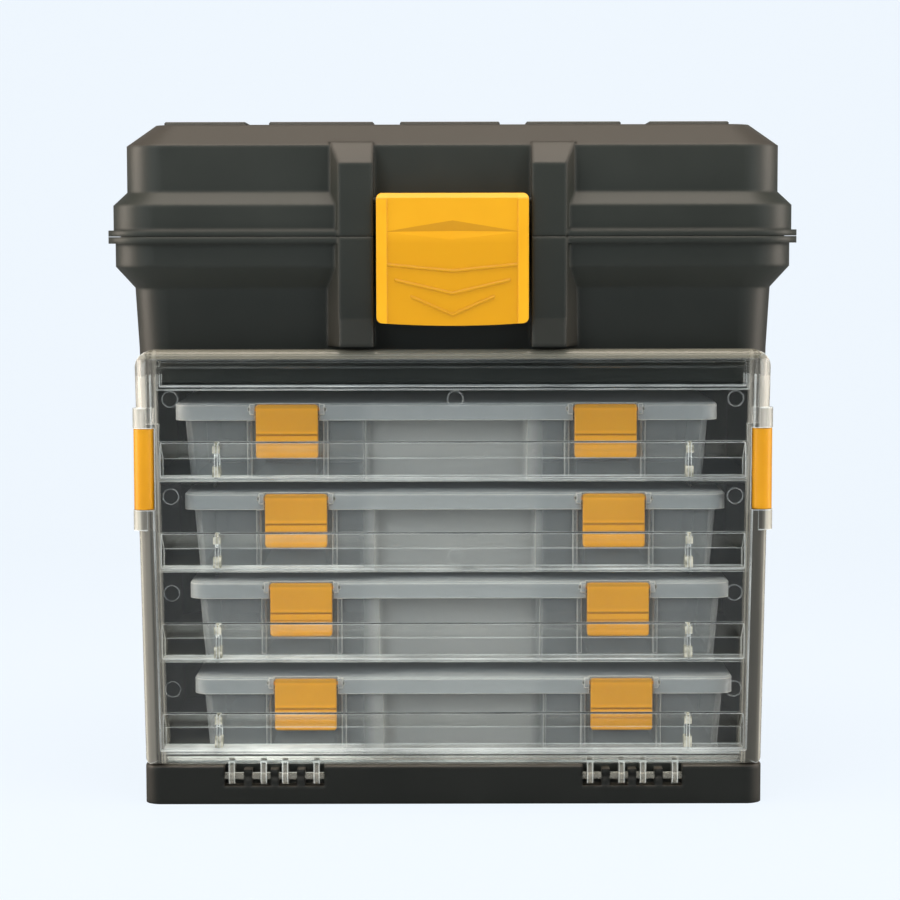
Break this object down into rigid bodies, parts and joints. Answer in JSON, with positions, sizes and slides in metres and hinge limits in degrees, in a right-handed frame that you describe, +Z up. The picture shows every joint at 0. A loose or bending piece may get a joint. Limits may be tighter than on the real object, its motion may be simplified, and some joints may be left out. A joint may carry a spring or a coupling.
{
  "type": "tool carry box",
  "caption": "Upright black plastic tool box with a hinged lid compartment over a rack of small-parts cases behind a clear drop-down door.",
  "frame": {"origin": "middle of the outline on the surface that the box stands on", "axes": "+X to the right seen from the front, +Y to the back, +Z up; the clear door faces -Y"},
  "size_m": [0.42, 0.258, 0.416],
  "materials": {
    "black_plastic": "fine moulded grain",
    "clear_door": "clear polished moulding",
    "clear_rod": "clear extruded rod",
    "frosted_case": "milky natural polypropylene",
    "yellow_plastic": "satin moulded",
    "steel_pin": "drawn wire"
  },
  "bodies": {
    "body": {"base_plinth": "black_plastic", "cabinet_body": "black_plastic", "lid_hinge_pin_left": "steel_pin", "lid_hinge_pin_right": "steel_pin", "door_hinge_rod_left": "clear_rod", "door_hinge_rod_right": "clear_rod"},
    "lid": {"lid_shell": "black_plastic", "lid_latch_pin": "steel_pin", "handle_pin_left": "steel_pin", "handle_pin_right": "steel_pin"},
    "front_latch": {"lid_latch": "yellow_plastic"},
    "handle": {"carry_handle": "black_plastic"},
    "door": {"door_panel": "clear_door", "door_latch_pin_left": "steel_pin", "door_latch_pin_right": "steel_pin"},
    "side_latch_left": {"door_latch_left": "yellow_plastic"},
    "side_latch_right": {"door_latch_right": "yellow_plastic"},
    "case_1": {"case_1_tub": "frosted_case", "case_1_lid": "frosted_case", "case_1_hinge_rod": "steel_pin", "case_1_dividers": "frosted_case"},
    "case_1_latch_left_body": {"case_1_latch_left": "yellow_plastic"},
    "case_1_latch_right_body": {"case_1_latch_right": "yellow_plastic"},
    "case_2": {"case_2_tub": "frosted_case", "case_2_lid": "frosted_case", "case_2_hinge_rod": "steel_pin", "case_2_dividers": "frosted_case"},
    "case_2_latch_left_body": {"case_2_latch_left": "yellow_plastic"},
    "case_2_latch_right_body": {"case_2_latch_right": "yellow_plastic"},
    "case_3": {"case_3_tub": "frosted_case", "case_3_lid": "frosted_case", "case_3_hinge_rod": "steel_pin", "case_3_dividers": "frosted_case"},
    "case_3_latch_left_body": {"case_3_latch_left": "yellow_plastic"},
    "case_3_latch_right_body": {"case_3_latch_right": "yellow_plastic"},
    "case_4": {"case_4_tub": "frosted_case", "case_4_lid": "frosted_case", "case_4_hinge_rod": "steel_pin", "case_4_dividers": "frosted_case"},
    "case_4_latch_left_body": {"case_4_latch_left": "yellow_plastic"},
    "case_4_latch_right_body": {"case_4_latch_right": "yellow_plastic"}
  },
  "joints": [
    {"name": "lid_swing", "type": "hinge", "parent": "body", "child": "lid", "pos_m": [0, 0.125, 0.346], "axis": [-1, 0, 0], "range_deg": [0, 100]},
    {"name": "lid_latch_swing", "type": "hinge", "parent": "lid", "child": "front_latch", "pos_m": [0, -0.1165, 0.3675], "axis": [-1, 0, 0], "range_deg": [0, 90]},
    {"name": "handle_swing", "type": "hinge", "parent": "lid", "child": "handle", "pos_m": [0, 0.012, 0.4045], "axis": [-1, 0, 0], "range_deg": [0, 90]},
    {"name": "door_swing", "type": "hinge", "parent": "body", "child": "door", "pos_m": [0, -0.117, 0.017], "axis": [1, 0, 0], "range_deg": [0, 90]},
    {"name": "door_latch_left_swing", "type": "hinge", "parent": "door", "child": "side_latch_left", "pos_m": [-0.1875, -0.1155, 0.2058], "axis": [0, 0, 1], "range_deg": [0, 60]},
    {"name": "door_latch_right_swing", "type": "hinge", "parent": "door", "child": "side_latch_right", "pos_m": [0.1875, -0.1155, 0.2058], "axis": [0, 0, -1], "range_deg": [0, 60]},
    {"name": "case_1_slide", "type": "slide", "parent": "body", "child": "case_1", "axis": [0, -1, 0], "range_m": [0, 0.2005]},
    {"name": "case_1_latch_left_swing", "type": "hinge", "parent": "case_1", "child": "case_1_latch_left_body", "pos_m": [-0.1014, -0.0985, 0.24085], "axis": [-1, 0, 0], "range_deg": [0, 46]},
    {"name": "case_1_latch_right_swing", "type": "hinge", "parent": "case_1", "child": "case_1_latch_right_body", "pos_m": [0.0934, -0.0985, 0.24085], "axis": [-1, 0, 0], "range_deg": [0, 46]},
    {"name": "case_2_slide", "type": "slide", "parent": "body", "child": "case_2", "axis": [0, -1, 0], "range_m": [0, 0.1705]},
    {"name": "case_2_latch_left_swing", "type": "hinge", "parent": "case_2", "child": "case_2_latch_left_body", "pos_m": [-0.0962, -0.0985, 0.18585], "axis": [-1, 0, 0], "range_deg": [0, 46]},
    {"name": "case_2_latch_right_swing", "type": "hinge", "parent": "case_2", "child": "case_2_latch_right_body", "pos_m": [0.0986, -0.0985, 0.18585], "axis": [-1, 0, 0], "range_deg": [0, 46]},
    {"name": "case_3_slide", "type": "slide", "parent": "body", "child": "case_3", "axis": [0, -1, 0], "range_m": [0, 0.0905]},
    {"name": "case_3_latch_left_swing", "type": "hinge", "parent": "case_3", "child": "case_3_latch_left_body", "pos_m": [-0.0934, -0.0985, 0.13085], "axis": [-1, 0, 0], "range_deg": [0, 46]},
    {"name": "case_3_latch_right_swing", "type": "hinge", "parent": "case_3", "child": "case_3_latch_right_body", "pos_m": [0.1014, -0.0985, 0.13085], "axis": [-1, 0, 0], "range_deg": [0, 46]},
    {"name": "case_4_slide", "type": "slide", "parent": "body", "child": "case_4", "axis": [0, -1, 0], "range_m": [0, 0.0165]},
    {"name": "case_4_latch_left_swing", "type": "hinge", "parent": "case_4", "child": "case_4_latch_left_body", "pos_m": [-0.091, -0.0985, 0.07135], "axis": [-1, 0, 0], "range_deg": [0, 46]},
    {"name": "case_4_latch_right_swing", "type": "hinge", "parent": "case_4", "child": "case_4_latch_right_body", "pos_m": [0.1038, -0.0985, 0.07135], "axis": [-1, 0, 0], "range_deg": [0, 46]}
  ],
  "couplings": [
    {"joint": "case_1_slide", "follows": "door_swing", "m_per_rad": 0.12732},
    {"joint": "case_1_latch_left_swing", "follows": "door_swing", "ratio": 0.5},
    {"joint": "case_1_latch_right_swing", "follows": "door_swing", "ratio": 0.5},
    {"joint": "case_2_slide", "follows": "door_swing", "m_per_rad": 0.10823},
    {"joint": "case_2_latch_left_swing", "follows": "door_swing", "ratio": 0.5},
    {"joint": "case_2_latch_right_swing", "follows": "door_swing", "ratio": 0.5},
    {"joint": "case_3_slide", "follows": "door_swing", "m_per_rad": 0.0573},
    {"joint": "case_3_latch_left_swing", "follows": "door_swing", "ratio": 0.5},
    {"joint": "case_3_latch_right_swing", "follows": "door_swing", "ratio": 0.5},
    {"joint": "case_4_slide", "follows": "door_swing", "m_per_rad": 0.01019},
    {"joint": "case_4_latch_left_swing", "follows": "door_swing", "ratio": 0.5},
    {"joint": "case_4_latch_right_swing", "follows": "door_swing", "ratio": 0.5}
  ]
}
